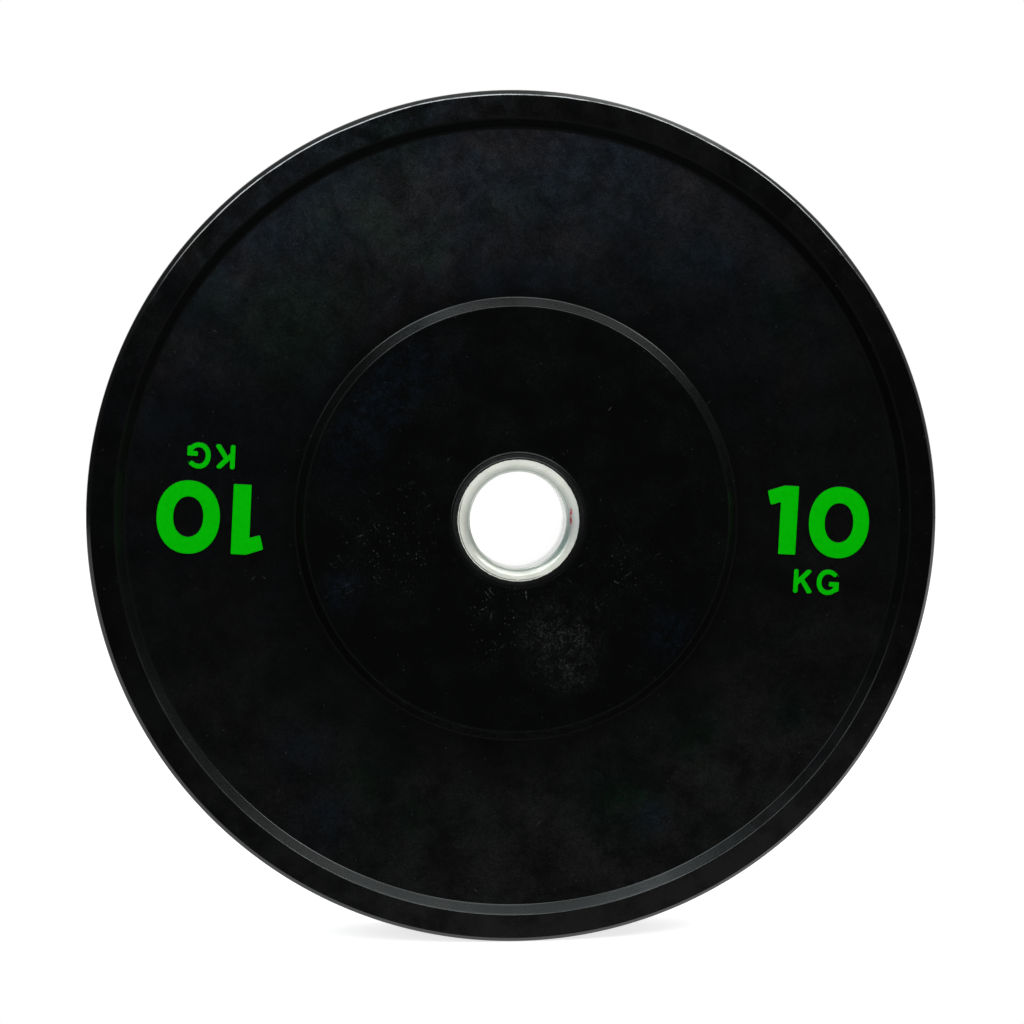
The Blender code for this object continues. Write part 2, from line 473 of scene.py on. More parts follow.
def mark_solid(name, foot, top, edge_round, spread, turn):
    """Cut the whole mark from a slab between two heights, with rounded upper edges."""
    curve = bpy.data.curves.new(name, 'CURVE')
    curve.dimensions = '2D'
    curve.fill_mode = 'BOTH'
    curve.extrude = (top - foot) / 2 - edge_round
    curve.bevel_depth = edge_round
    curve.bevel_resolution = 3
    curve.offset = spread
    for glyph in (numeral_one, numeral_zero, letter_k, letter_g):
        for loop in glyph():
            spline = curve.splines.new('POLY')
            spline.points.add(len(loop) - 1)
            for point, place in zip(spline.points, loop):
                point.co = (place.x * MM, place.y * MM, 0, 1)
            spline.use_cyclic_u = True
    guide = bpy.data.objects.new(name, curve)
    bpy.context.scene.collection.objects.link(guide)
    graph = bpy.context.evaluated_depsgraph_get()
    body = bmesh.new()
    body.from_mesh(bpy.data.meshes.new_from_object(guide.evaluated_get(graph)))
    bpy.data.objects.remove(guide)
    bmesh.ops.remove_doubles(body, verts=body.verts, dist=WELD_DISTANCE)
    place = (
        turn
        @ Matrix.Translation((MARK_CENTRE[0], -(foot + top) / 2, MARK_CENTRE[1]))
        @ Matrix.Rotation(-MARK_TILT, 4, 'Y')
        @ Matrix.Rotation(math.radians(90), 4, 'X')
    )
    bmesh.ops.transform(body, matrix=place, verts=body.verts)
    return piece_from(body, name)


def make_marks(rubber, paint):
    """Raised 10 KG on the right and, turned half round, on the left, on both faces."""
    top = FIELD_FACE + MARK_RELIEF
    half_turn = Matrix.Rotation(math.pi, 4, 'Y')
    to_back = Matrix.Rotation(math.pi, 4, 'Z')
    turns = {
        "front_right": Matrix.Identity(4),
        "front_left": half_turn,
        "back_right": to_back,
        "back_left": to_back @ half_turn,
    }
    for side, turn in turns.items():
        relief = mark_solid("mark_relief_" + side, FIELD_FACE - MARK_ROOT, top,
                            MARK_EDGE_ROUND, 0.0, turn)
        finish(relief, rubber, "black_rubber")
        coat = mark_solid("mark_paint_" + side, top - PAINT_COAT, top + PAINT_COAT,
                          PAINT_EDGE_ROUND, PAINT_SPREAD, turn)
        finish(coat, paint, "green_paint")


class Nodes:
    """Adds nodes to a node tree with short calls."""

    def __init__(self, tree):
        self.tree = tree

    def node(self, kind, **inputs):
        """Add a node and set or link its inputs, named with _ for a space."""
        node = self.tree.nodes.new(kind)
        for name, value in inputs.items():
            self.feed(node.inputs[name.replace("_", " ")], value)
        return node

    def feed(self, socket, value):
        """Link a socket to another node's output, or set its value."""
        if isinstance(value, bpy.types.NodeSocket):
            self.tree.links.new(value, socket)
        else:
            socket.default_value = value

    def maths(self, operation, *values):
        """One step of arithmetic on numbers or outputs."""
        node = self.tree.nodes.new('ShaderNodeMath')
        node.operation = operation
        for socket, value in zip(node.inputs, values):
            self.feed(socket, value)
        return node.outputs[0]

    def step(self, value, low, high, to_low=0.0, to_high=1.0):
        """Ease a value from to_low to to_high between low and high."""
        node = self.tree.nodes.new('ShaderNodeMapRange')
        node.interpolation_type = 'SMOOTHSTEP'
        for name, part in (('Value', value), ('From Min', low), ('From Max', high),
                           ('To Min', to_low), ('To Max', to_high)):
            self.feed(node.inputs[name], part)
        return node.outputs[0]


class Shading(Nodes):
    """The look of one material, with places measured from the plate's axis."""

    def __init__(self, name):
        self.material = bpy.data.materials.new(name)
        self.material.use_nodes = True
        super().__init__(self.material.node_tree)
        self.shader = self.tree.nodes['Principled BSDF']
        self.place = self.node('ShaderNodeTexCoord').outputs['Object']
        x, y, z = self.node('ShaderNodeSeparateXYZ', Vector=self.place).outputs
        self.x, self.y, self.z = x, y, z
        self.flat = self.node('ShaderNodeCombineXYZ', X=x, Y=z, Z=0.0).outputs[0]
        self.front = self.step(y, -2 * MM, 2 * MM, 1.0, 0.0)
        self.turn = self.maths('ARCTAN2', z, x)
        across = self.maths('POWER', x, 2)
        upward = self.maths('POWER', z, 2)
        self.radius = self.maths('SQRT', self.maths('ADD', across, upward))

    def noise(self, size, detail=4.0, roughness=0.55, distortion=0.0, place=None):
        """Noise from 0 to 1 whose blobs are about size metres across."""
        node = self.node('ShaderNodeTexNoise', Vector=place or self.place, Scale=1 / size,
                         Detail=detail, Roughness=roughness, Distortion=distortion)
        return node.outputs[0]

    def band(self, value, low, high, soft):
        """One between low and high, fading to zero over soft on either side."""
        rise = self.step(value, low - soft, low)
        fall = self.step(value, high, high + soft, 1.0, 0.0)
        return self.maths('MULTIPLY', rise, fall)

    def spot(self, x, z, reach):
        """One at a place on the front face, fading to zero at reach."""
        middle = self.node('ShaderNodeCombineXYZ', X=x, Y=z, Z=0.0).outputs[0]
        apart = self.tree.nodes.new('ShaderNodeVectorMath')
        apart.operation = 'DISTANCE'
        self.feed(apart.inputs[0], self.flat)
        self.feed(apart.inputs[1], middle)
        near = self.step(apart.outputs['Value'], 0.0, reach, 1.0, 0.0)
        return self.maths('MULTIPLY', near, self.front)

    def cells(self, angle, length, width):
        """Coordinates on the face whose cells are length by width, turned by an angle."""
        node = self.tree.nodes.new('ShaderNodeMapping')
        node.vector_type = 'TEXTURE'
        self.feed(node.inputs['Vector'], self.flat)
        node.inputs['Rotation'].default_value = (0, 0, angle)
        node.inputs['Scale'].default_value = (length, width, 1)
        return node.outputs[0]

    def dots(self, cells, share, size):
        """One dot in each of a share of the cells; size is its part of a cell."""
        node = self.tree.nodes.new('ShaderNodeTexVoronoi')
        node.voronoi_dimensions = '2D'
        self.feed(node.inputs['Vector'], cells)
        self.feed(node.inputs['Scale'], 1.0)
        luck = self.node('ShaderNodeSeparateColor', Color=node.outputs['Color']).outputs[0]
        chosen = self.step(luck, 1 - share, 1.0)
        dot = self.step(node.outputs['Distance'], 0.4 * size, size, 1.0, 0.0)
        return self.maths('MULTIPLY', dot, chosen)

    def mix(self, factor, first, second):
        """Blend two colours."""
        node = self.tree.nodes.new('ShaderNodeMix')
        node.data_type = 'RGBA'
        self.feed(node.inputs[0], factor)
        self.feed(node.inputs[6], first)
        self.feed(node.inputs[7], second)
        return node.outputs[2]

    def scaled(self, colour, factor):
        """Brighten or dim a colour."""
        node = self.tree.nodes.new('ShaderNodeVectorMath')
        node.operation = 'SCALE'
        self.feed(node.inputs[0], colour)
        self.feed(node.inputs['Scale'], factor)
        return node.outputs[0]

    def bump(self, height, distance, strength=1.0, under=None):
        """Surface relief of the given depth in metres."""
        node = self.node('ShaderNodeBump', Height=height, Distance=distance, Strength=strength)
        if under is not None:
            self.feed(node.inputs['Normal'], under)
        return node.outputs[0]


def all_of(look, *factors):
    """Multiply factors."""
    product = factors[0]
    for factor in factors[1:]:
        product = look.maths('MULTIPLY', product, factor)
    return product


def any_of(look, *factors):
    """The greatest of some factors."""
    most = factors[0]
    for factor in factors[1:]:
        most = look.maths('MAXIMUM', most, factor)
    return most


def patches_at(look, places):
    """A soft spot for each (x, z, reach) in millimetres."""
    return [look.spot(x * MM, z * MM, reach * MM) for x, z, reach in places]


def fine_grain(look, least):
    """Grain that thins a film to least in some places and thickens it in others."""
    return look.step(look.noise(0.7 * MM, 4.0, 0.85), 0.32, 0.68, least, 1.55)


def collar_gap(look):
    """One in the gap between the collar and its ledge."""
    return look.band(look.radius, COLLAR_EDGE_RADIUS + 0.05 * MM, COLLAR_LEDGE_RADIUS, 0.08 * MM)


def painted_sheen_hue(look, slant):
    """Hue of the painted sheen: bluish, greyer in places, neutral low down, with green patches."""
    blue = (0.44, 0.69, 1.0, 1)
    grey = (0.82, 0.80, 0.96, 1)
    green = (0.32, 0.88, 0.54, 1)
    neutral = (0.86, 0.84, 0.82, 1)
    greyer = look.step(look.noise(42 * MM, 6.0, 0.62, 0.2), 0.40, 0.64)
    patches = look.step(look.noise(48 * MM, 6.0, 0.6, 0.2), 0.52, 0.70, 0.0, 0.5)
    left_patch = look.maths('MULTIPLY', look.spot(-119 * MM, 99 * MM, 48 * MM), 0.9)
    low = look.step(slant, -0.02, 0.10, 0.55, 0.0)
    hue = look.mix(greyer, blue, grey)
    hue = look.mix(any_of(look, patches, left_patch), hue, green)
    return look.mix(low, hue, neutral)


def bloom_and_painted_sheen(look):
    """Tint of the cloudy bloom on field and rim, with painted sheen that thickens towards the upper
    left and painted shade near the foot of the hub.
    """
    # Painted sheen that grows towards the upper left, along this slant.
    upward = look.maths('MULTIPLY', look.z, math.cos(SHEEN_SLANT))
    rightward = look.maths('MULTIPLY', look.x, math.sin(SHEEN_SLANT))
    slant = look.maths('SUBTRACT', upward, rightward)
    cover = look.step(slant, 0.06, 0.19, 0.22, 1.0)
    thick = look.step(cover, 0.6, 1.0, 0.35, 0.8)
    blotches = look.step(look.noise(13 * MM, 8.0, 0.7, 0.5), 0.40, 0.62, 0.15, 1.1)
    leftward = look.step(look.x, -0.05, 0.03, 1.9, 0.15)
    rim_cover = all_of(look, cover, thick, blotches, leftward)
    on_rim = look.step(look.radius, RIM_INNER_RADIUS - 1 * MM, RIM_INNER_RADIUS)
    # Painted shade: less shine near the foot of the hub.
    by_hub = look.step(look.radius, HUB_FOOT_RADIUS, HUB_FOOT_RADIUS + 9 * MM, 0.35, 1.0)
    wisps = look.step(look.noise(11 * MM, 12.0, 0.74, 0.8), 0.36, 0.62, 0.58, 1.28)
    amount = all_of(look, look.step(on_rim, 0.0, 1.0, cover, rim_cover), by_hub, wisps,
                    fine_grain(look, 0.45))
    return look.scaled(painted_sheen_hue(look, slant), amount)


def hub_shine_with_painted_shade(look):
    """Tint on the hub's face and on its wall, with painted shade that darkens the wall at the far
    left.
    """
    painted_shade_wall = (0.22, 0.24, 0.24, 1)
    front_face = (0.72, 0.80, 0.80, 1)
    back_face = (0.27, 0.29, 0.29, 1)
    # Painted shade on the hub's wall at the far left.
    far_left = look.step(look.x, -88 * MM, -62 * MM, 1.0, 0.0)
    on_face = look.step(look.radius, HUB_RADIUS - 0.5 * MM, HUB_RADIUS, 1.0, 0.0)
    wall = look.mix(far_left, UNSHADED_WALL_SHINE, painted_shade_wall)
    face = look.mix(look.front, back_face, front_face)
    return look.mix(on_face, wall, face)


def rim_wall_shine_with_painted_shade(look):
    """Tint on the wall inside the rim, with painted shade that dulls it towards the right."""
    dull = (0.36, 0.40, 0.40, 1)
    # Painted shade: the wall's shine dulls towards the right.
    return look.mix(look.step(look.x, 0.04, 0.19), UNSHADED_WALL_SHINE, dull)


def bevel_painted_light(look):
    """Tint on the rim's bevel: a painted highlight at the top, and painted shade at the sides and
    darkest at the lower left.
    """
    left = (0.26, 0.27, 0.28, 1)
    right = (0.17, 0.175, 0.18, 1)
    low_left = (0.10, 0.10, 0.10, 1)
    top = (0.62, 0.64, 0.66, 1)
    # Painted highlight at the top, painted shade on the sides and at the lower left.
    leftward = look.step(look.x, -0.19, -0.10, 1.0, 0.0)
    downward = look.step(look.z, 0.08, 0.16, 1.0, 0.0)
    shine = look.mix(look.step(look.x, 0.02, 0.12), left, right)
    shine = look.mix(look.maths('MULTIPLY', leftward, downward), shine, low_left)
    return look.mix(look.step(look.z, 0.17, 0.21), shine, top)


def tread_shine(look):
    """Tint on the tread, in faint even streaks."""
    faint = (0.30, 0.32, 0.33, 1)
    stronger = (0.48, 0.50, 0.52, 1)
    streaks = look.step(look.noise(9 * MM, 8.0, 0.7, 0.2), 0.36, 0.64)
    return look.mix(streaks, faint, stronger)


def rubber_shine_with_painted_light(look):
    """Tint of the rubber's shine from the hub out to the tread, with painted sheen and painted shade
    by place and in the collar's gap, fainter on the back.
    """
    gap_shade_tint = (0.02, 0.02, 0.02, 1)
    hub = look.step(look.radius, HUB_FOOT_RADIUS, HUB_FOOT_RADIUS + 0.5 * MM, 1.0, 0.0)
    rim_wall = look.band(look.radius, FIELD_RADIUS, RIM_INNER_RADIUS, 0.3 * MM)
    bevel = look.band(look.radius, RIM_BEVEL_RADIUS, TREAD_RADIUS - 0.2 * MM, 0.15 * MM)
    tread = look.step(look.radius, TREAD_RADIUS - 0.45 * MM, TREAD_RADIUS - 0.30 * MM)
    shine = look.mix(hub, bloom_and_painted_sheen(look), hub_shine_with_painted_shade(look))
    shine = look.mix(rim_wall, shine, rim_wall_shine_with_painted_shade(look))
    # Painted shade in the gap between the collar and its ledge.
    shine = look.mix(collar_gap(look), shine, gap_shade_tint)
    shine = look.mix(bevel, shine, bevel_painted_light(look))
    shine = look.mix(tread, shine, tread_shine(look))
    # The back keeps only part of the painted shine, except at the bevel's edge.
    edge = look.step(look.radius, RIM_BEVEL_RADIUS - 0.5 * MM, RIM_BEVEL_RADIUS)
    kept = look.maths('MAXIMUM', look.front, edge)
    return look.scaled(shine, look.step(kept, 0.0, 1.0, BACK_SHINE, 1.0))


def dust_colour(look):
    """Grey dust with green and blue patches."""
    green_dust = (0.0018, 0.0090, 0.0036, 1)
    blue_dust = (0.0044, 0.0088, 0.0132, 1)
    blotchy = look.step(look.noise(9 * MM, 8.0, 0.72), 0.38, 0.56, 0.45, 1.0)
    faint_green = look.step(look.noise(50 * MM, 5.0, 0.6, 0.2), 0.46, 0.66, 0.0, 0.3)
    green = any_of(look, faint_green, *patches_at(look, GREEN_PATCHES))
    blue = any_of(look, *patches_at(look, BLUE_PATCHES))
    dust = look.mix(look.maths('MULTIPLY', green, blotchy), GREY_DUST, green_dust)
    return look.mix(look.maths('MULTIPLY', blue, blotchy), dust, blue_dust)


def field_dust_and_painted_light(look, cloud, grain):
    """Amount of dust on the field, most low down, with painted light high up at the left and painted
    shade near the foot of the hub.
    """
    on_field = look.step(look.radius, HUB_RADIUS, HUB_FOOT_RADIUS, 0.0, 1.0)
    # Painted shade: less dust near the foot of the hub.
    off_hub = look.step(look.radius, HUB_FOOT_RADIUS, HUB_FOOT_RADIUS + 45 * MM, 0.3, 0.92)
    wall = look.band(look.radius, FIELD_RADIUS, RIM_INNER_RADIUS, 0.3 * MM)
    off_wall = look.maths('SUBTRACT', 1.0, wall)
    low = look.step(look.z, -0.18, 0.0, 0.76, 0.14)
    # Painted light: more high up, and more at the left.
    high = look.step(look.z, 0.06, 0.16, 0.0, 0.3)
    more_at_left = look.step(look.x, -0.12, 0.0, 2.4, 1.0)
    low_or_high = look.maths('ADD', low, look.maths('MULTIPLY', high, more_at_left))
    rightward = look.step(look.x, -0.20, 0.12, 0.55, 1.0)
    amount = all_of(look, cloud, grain, on_field, off_hub, off_wall, rightward, low_or_high)
    return look.maths('MINIMUM', amount, 1.0)


def rim_dust(look, cloud, grain):
    """Amount of dust on the lower rim, which fades towards the left."""
    on_rim = look.step(look.radius, RIM_INNER_RADIUS, RIM_INNER_RADIUS + 1 * MM)
    low = look.step(look.z, -0.18, -0.06, 1.0, 0.0)
    rim_cloud = look.step(cloud, 0.0, 1.0, 0.4, 0.95)
    rightward = look.step(look.x, -0.19, 0.03, 0.0, 0.82)
    return all_of(look, on_rim, low, rim_cloud, grain, rightward)


def collar_wear_and_painted_light(look, colour):
    """Put the worn grey of the collar on a colour, lighter towards the left as painted light, with
    painted shade in the gap and a painted highlight on the ledge at the upper left.
    """
    collar_grey = (0.0150, 0.0158, 0.0150, 1)
    painted_gap_black = (0.0004, 0.0004, 0.0004, 1)
    painted_ledge_highlight = (0.040, 0.043, 0.042, 1)
    collar = look.band(look.radius, BUSH_RADIUS, COLLAR_EDGE_RADIUS, 0.3 * MM)
    # Painted light: the collar's grey is lighter towards the left.
    leftward = look.step(look.x, -20 * MM, 22 * MM, 1.0, 0.55)
    scuffed = look.step(look.noise(2.4 * MM, 5.0, 0.7), 0.3, 0.7, 0.6, 1.0)
    worn_away = look.step(look.radius, BUSH_RADIUS, COLLAR_EDGE_RADIUS, 0.9, 0.2)
    low_collar = look.step(look.z, -14 * MM, 6 * MM, worn_away, 1.0)
    lean = look.maths('SUBTRACT', look.z, look.maths('MULTIPLY', look.x, 0.4))
    upper_left = look.step(lean, 12 * MM, 30 * MM)
    powder = look.step(look.radius, BUSH_RADIUS + 1 * MM, BUSH_RADIUS + 5 * MM, 0.25, 0.0)
    powder = look.maths('MULTIPLY', powder, look.step(upper_left, 0.0, 1.0, 1.0, 0.0))
    on_collar = any_of(look, all_of(look, collar, leftward, low_collar, scuffed), powder)
    ledge = look.band(look.radius, COLLAR_LEDGE_RADIUS + 0.1 * MM, COLLAR_FOOT_RADIUS, 0.08 * MM)
    colour = look.mix(on_collar, colour, collar_grey)
    # Painted shade in the gap and a painted highlight on the ledge, at the upper left.
    colour = look.mix(all_of(look, collar_gap(look), upper_left), colour, painted_gap_black)
    return look.mix(all_of(look, ledge, upper_left, scuffed), colour, painted_ledge_highlight)


def rubber_film(look):
    """Colour of the rubber: near black under dust on field, rim and tread, with painted light on the
    field, and the worn collar with its painted light and shade.
    """
    rim_grey = (0.0105, 0.0103, 0.0101, 1)
    cloud = look.step(look.noise(26 * MM, 10.0, 0.74, 0.2), 0.36, 0.64, 0.2, 1.05)
    grain = fine_grain(look, 0.15)
    on_tread = look.step(look.radius, TREAD_RADIUS - 0.5 * MM, TREAD_RADIUS - 0.3 * MM)
    scuffs = look.step(look.noise(14 * MM, 8.0, 0.75, 0.3), 0.46, 0.64, 0.0, 0.8)
    colour = look.mix(field_dust_and_painted_light(look, cloud, grain), NEAR_BLACK, dust_colour(look))
    colour = look.mix(rim_dust(look, cloud, grain), colour, rim_grey)
    colour = look.mix(all_of(look, on_tread, scuffs, grain), colour, GREY_DUST)
    return collar_wear_and_painted_light(look, colour)


def hub_marks(look):
    """Pale dust, rubbed specks and smears, and short spokes below the bush, all on the hub."""
    wisps = look.step(look.noise(0.9 * MM, 6.0, 0.85, 0.3), 0.46, 0.74, 0.0, 0.85)
    grit = look.step(look.noise(8 * MM, 8.0, 0.8, 0.4), 0.40, 0.60, 0.06, 1.0)
    patch = any_of(look, look.spot(22 * MM, -63 * MM, 34 * MM),
                   look.spot(27 * MM, -78 * MM, 22 * MM))
    dust = all_of(look, patch, wisps, grit)

    back = look.maths('SUBTRACT', 1.0, look.front)
    back_patch = look.maths('MULTIPLY', back, look.step(look.noise(34 * MM, 4.0), 0.46, 0.60))
    thin_patch = any_of(look, look.spot(-68 * MM, -12 * MM, 50 * MM),
                        look.spot(52 * MM, -24 * MM, 44 * MM),
                        look.spot(-8 * MM, -50 * MM, 40 * MM), back_patch)
    broken = look.step(look.noise(1.0 * MM, 3.0, 0.7), 0.40, 0.62)
    clumped = look.step(look.noise(10 * MM, 4.0), 0.42, 0.58, 0.12, 1.0)
    specks = look.dots(look.cells(0.08, 2.2 * MM, 2.9 * MM), 0.6, 0.18)
    smears = look.dots(look.cells(0.5, 19 * MM, 1.7 * MM), 0.14, 0.18)
    cross = look.dots(look.cells(-0.9, 21 * MM, 1.6 * MM), 0.12, 0.18)
    rubbed = all_of(look, any_of(look, specks, smears, cross), thin_patch, clumped, broken)

    around = look.maths('MULTIPLY', look.turn, 13.0)
    outward = look.maths('DIVIDE', look.radius, 19 * MM)
    polar = look.node('ShaderNodeCombineXYZ', X=around, Y=outward, Z=0.0).outputs[0]
    low_side = look.spot(-4 * MM, -42 * MM, 34 * MM)
    near_bush = look.band(look.radius, BUSH_RADIUS + 6 * MM, BUSH_RADIUS + 18 * MM, 5 * MM)
    spokes = all_of(look, look.dots(polar, 0.35, 0.17), low_side, near_bush, broken)

    on_hub = look.band(look.radius, BUSH_RADIUS + 4 * MM, HUB_RADIUS - 8 * MM, 5 * MM)
    return look.maths('MULTIPLY', any_of(look, dust, rubbed, spokes), on_hub)


def pale_marks(look):
    """One where the rubber is pale: the marks on the hub, and fine dust, lint and nicks."""
    fine = look.step(look.noise(0.9 * MM, 4.0, 0.8), 0.57, 0.80, 0.0, 0.13)
    lint = look.maths('MULTIPLY', look.dots(look.cells(0.3, 9 * MM, 11 * MM), 0.25, 0.035), 0.5)
    nicks = any_of(look, look.dots(look.cells(0.85, 38 * MM, 3.0 * MM), 0.014, 0.05),
                   look.dots(look.cells(-0.6, 31 * MM, 2.6 * MM), 0.012, 0.05))
    return any_of(look, hub_marks(look), fine, lint, nicks)


def blue_sheen(look):
    """One where sheen is painted: two bluish patches on the hub and an arc along its upper left."""
    arc = look.maths('MULTIPLY', look.spot(-76 * MM, 66 * MM, 72 * MM),
                     look.band(look.radius, 86 * MM, 104 * MM, 12 * MM))
    sheen = any_of(look, look.spot(-93 * MM, -37 * MM, 19 * MM),
                   look.spot(84 * MM, -60 * MM, 24 * MM), arc)
    soft = look.step(look.noise(7 * MM, 10.0, 0.85), 0.42, 0.66, 0.0, 1.0)
    grain = look.step(look.noise(0.9 * MM, 3.0, 0.8), 0.35, 0.65, 0.3, 1.3)
    inside = look.step(look.radius, HUB_RADIUS - 3 * MM, HUB_RADIUS - 1 * MM, 1.0, 0.0)
    return all_of(look, sheen, soft, grain, inside)


def worn_edges(look):
    """One on the edges and feet of hub and rim, which rub shiny."""
    reach = 0.45 * MM
    edges = [look.band(look.radius, radius - reach, radius + reach, 0.3 * MM)
             for radius in (HUB_RADIUS, HUB_FOOT_RADIUS, FIELD_RADIUS, RIM_INNER_RADIUS)]
    corner = look.step(look.radius, RIM_BEVEL_RADIUS - 0.4 * MM, RIM_BEVEL_RADIUS)
    return any_of(look, *edges, corner)


def painted_highlight_line(look):
    """A painted highlight: a pale line along the bevel of the rim, in the upper part."""
    wander = look.step(look.noise(45 * MM, 3.0, 0.5), 0.3, 0.7, -0.35 * MM, 0.35 * MM)
    leftward = look.step(look.x, -80 * MM, -20 * MM, 0.5 * MM, 0.0)
    place = look.maths('ADD', look.radius, look.maths('ADD', wander, leftward))
    line = look.band(place, RIM_BEVEL_RADIUS - 0.05 * MM, RIM_BEVEL_RADIUS + 0.15 * MM, 0.25 * MM)
    upper = look.step(look.z, 0.11, 0.18)
    uneven = look.step(look.noise(14 * MM, 6.0, 0.7), 0.34, 0.56, 0.25, 1.0)
    return all_of(look, line, upper, uneven)


def painted_rim_edge_highlight(look):
    """A painted highlight: a thin pale line on the inner edge of the rim, in the lower part."""
    line = look.band(look.radius, RIM_INNER_RADIUS - 0.25 * MM, RIM_INNER_RADIUS + 0.05 * MM,
                     0.15 * MM)
    lower = look.step(look.z, -0.12, -0.04, 1.0, 0.0)
    uneven = look.step(look.noise(12 * MM, 6.0, 0.7), 0.36, 0.60, 0.3, 1.0)
    return all_of(look, line, lower, uneven)


def rubber_roughness(look, edges):
    """Mottled, smoother on hub, rim and walls, and smoothest on the worn edges."""
    mottled = look.step(look.noise(24 * MM, 10.0, 0.72, 0.3), 0.30, 0.70, 0.29, 0.45)
    speckle = look.step(look.noise(1.2 * MM, 3.0, 0.7), 0.3, 0.7, -0.04, 0.04)
    hub_face = look.step(look.radius, HUB_RADIUS - 1 * MM, HUB_RADIUS, 1.0, 0.0)
    rim_face = look.step(look.radius, RIM_INNER_RADIUS, RIM_INNER_RADIUS + 1 * MM)
    hub_wall = look.band(look.radius, HUB_RADIUS, HUB_FOOT_RADIUS, 0.5 * MM)
    rim_wall = look.band(look.radius, FIELD_RADIUS, RIM_INNER_RADIUS, 0.5 * MM)
    roughness = look.maths('ADD', mottled, speckle)
    for area, smoother in ((hub_face, 0.16), (rim_face, 0.10),
                           (any_of(look, hub_wall, rim_wall), 0.08)):
        roughness = look.maths('SUBTRACT', roughness, look.maths('MULTIPLY', area, smoother))
    return look.step(edges, 0.0, 1.0, roughness, 0.16)


def rubber_material():
    """Black rubber: mottled on the field, cleaner on the hub, with dust, scuffs and wear, painted
    sheen on the hub, painted highlight lines on the rim, and a shine tint that paints sheen and
    shade.
    """
    look = Shading("black_rubber")
    sheen_blue = (0.0026, 0.0056, 0.0100, 1)
    edge_grey = (0.0050, 0.0052, 0.0052, 1)
    pale_grey = (0.050, 0.054, 0.050, 1)
    rim_edge_highlight_grey = (0.034, 0.035, 0.035, 1)
    highlight_grey = (0.55, 0.57, 0.58, 1)
    edges = worn_edges(look)
    # Painted sheen on the hub.
    colour = look.mix(blue_sheen(look), rubber_film(look), sheen_blue)
    colour = look.mix(look.maths('MULTIPLY', edges, 0.5), colour, edge_grey)
    colour = look.mix(pale_marks(look), colour, pale_grey)
    # Painted highlight on the rim's inner edge, low down.
    colour = look.mix(painted_rim_edge_highlight(look), colour, rim_edge_highlight_grey)
    # Painted highlight along the top of the rim's bevel.
    colour = look.mix(painted_highlight_line(look), colour, highlight_grey)
    grain = look.bump(look.noise(0.7 * MM, 3.0, 0.6), 0.02 * MM, 0.5)
    swell = look.bump(look.noise(16 * MM, 3.0, 0.5), 0.08 * MM, 0.5, grain)

    look.feed(look.shader.inputs['Base Color'], colour)
    look.feed(look.shader.inputs['Specular Tint'], rubber_shine_with_painted_light(look))
    look.feed(look.shader.inputs['Roughness'], rubber_roughness(look, edges))
    look.feed(look.shader.inputs['Normal'], swell)
    look.shader.inputs['Specular IOR Level'].default_value = 0.6
    return look.material


def zinc_colour(look, in_bore, deep):
    """Pale and faintly green, dimmer above as painted shade and darker at the right, with painted
    shade in the step and on the mouth at the lower right, grime, a dirty line and a smear.
    """
    pale = (0.71, 0.73, 0.66, 1)
    dull = (0.62, 0.64, 0.57, 1)
    dim = (0.595, 0.61, 0.555, 1)
    dimmer = (0.53, 0.55, 0.49, 1)
    shaded = (0.30, 0.40, 0.37, 1)
    right_grey = (0.43, 0.45, 0.43, 1)
    rubbed = (0.66, 0.68, 0.65, 1)
    polished = (0.96, 0.97, 0.96, 1)
    soiled = (0.10, 0.10, 0.09, 1)
    dirt = (0.008, 0.008, 0.008, 1)
    red = (0.42, 0.02, 0.05, 1)

    cloud = look.step(look.noise(9 * MM, 5.0, 0.6, 0.3), 0.35, 0.65)
    colour = look.mix(cloud, dull, pale)
    grime = look.step(look.noise(1.6 * MM, 6.0, 0.75), 0.66, 0.74)
    worn_band = look.step(look.radius, BUSH_RADIUS - 3.5 * MM, BUSH_RADIUS, 0.25, 1.0)
    colour = look.mix(look.maths('MULTIPLY', grime, worn_band), colour, soiled)

    # Painted shade: dimmer on the upper side.
    upper_side = look.step(look.z, -14 * MM, 8 * MM)
    colour = look.mix(upper_side, colour, look.mix(cloud, dimmer, dim))
    # Darker towards the right.
    right_side = look.spot(33 * MM, 0.0, 26 * MM)
    colour = look.mix(right_side, colour, right_grey)
    # Painted shade in the step.
    in_step = look.band(look.radius, STEP_RADIUS - 0.05 * MM, STEP_RADIUS + 0.25 * MM, 0.25 * MM)
    step_shade = look.maths('MULTIPLY', in_step, look.step(look.x, 10 * MM, 22 * MM, 0.72, 0.6))
    colour = look.mix(step_shade, colour, shaded)
    # Painted shade on the steep part of the mouth at the lower right.
    lower_right = look.spot(25 * MM, -13 * MM, 20 * MM)
    steep = look.band(look.radius, STEP_RADIUS - 0.8 * MM, STEP_RADIUS + 0.9 * MM, 0.8 * MM)
    colour = look.mix(all_of(look, steep, lower_right, 0.9), colour, shaded)
    colour = look.mix(in_bore, colour, look.mix(deep, rubbed, polished))

    crack = look.band(look.radius, BUSH_RADIUS - 1.20 * MM, BUSH_RADIUS - 0.88 * MM, 0.06 * MM)
    lower_left = look.step(look.maths('ADD', look.x, look.z), -26 * MM, -10 * MM, 1.0, 0.0)
    ragged = look.step(look.noise(3 * MM, 4.0, 0.7), 0.34, 0.48, 0.45, 1.0)
    colour = look.mix(all_of(look, crack, lower_left, ragged), colour, dirt)

    across = look.band(look.x, 27.3 * MM, 28.0 * MM, 0.35 * MM)
    upright = look.band(look.z, -3.4 * MM, 5.2 * MM, 1.5 * MM)
    broken = look.step(look.noise(1.5 * MM, 4.0, 0.7), 0.38, 0.56)
    return look.mix(all_of(look, across, upright, broken), colour, red)


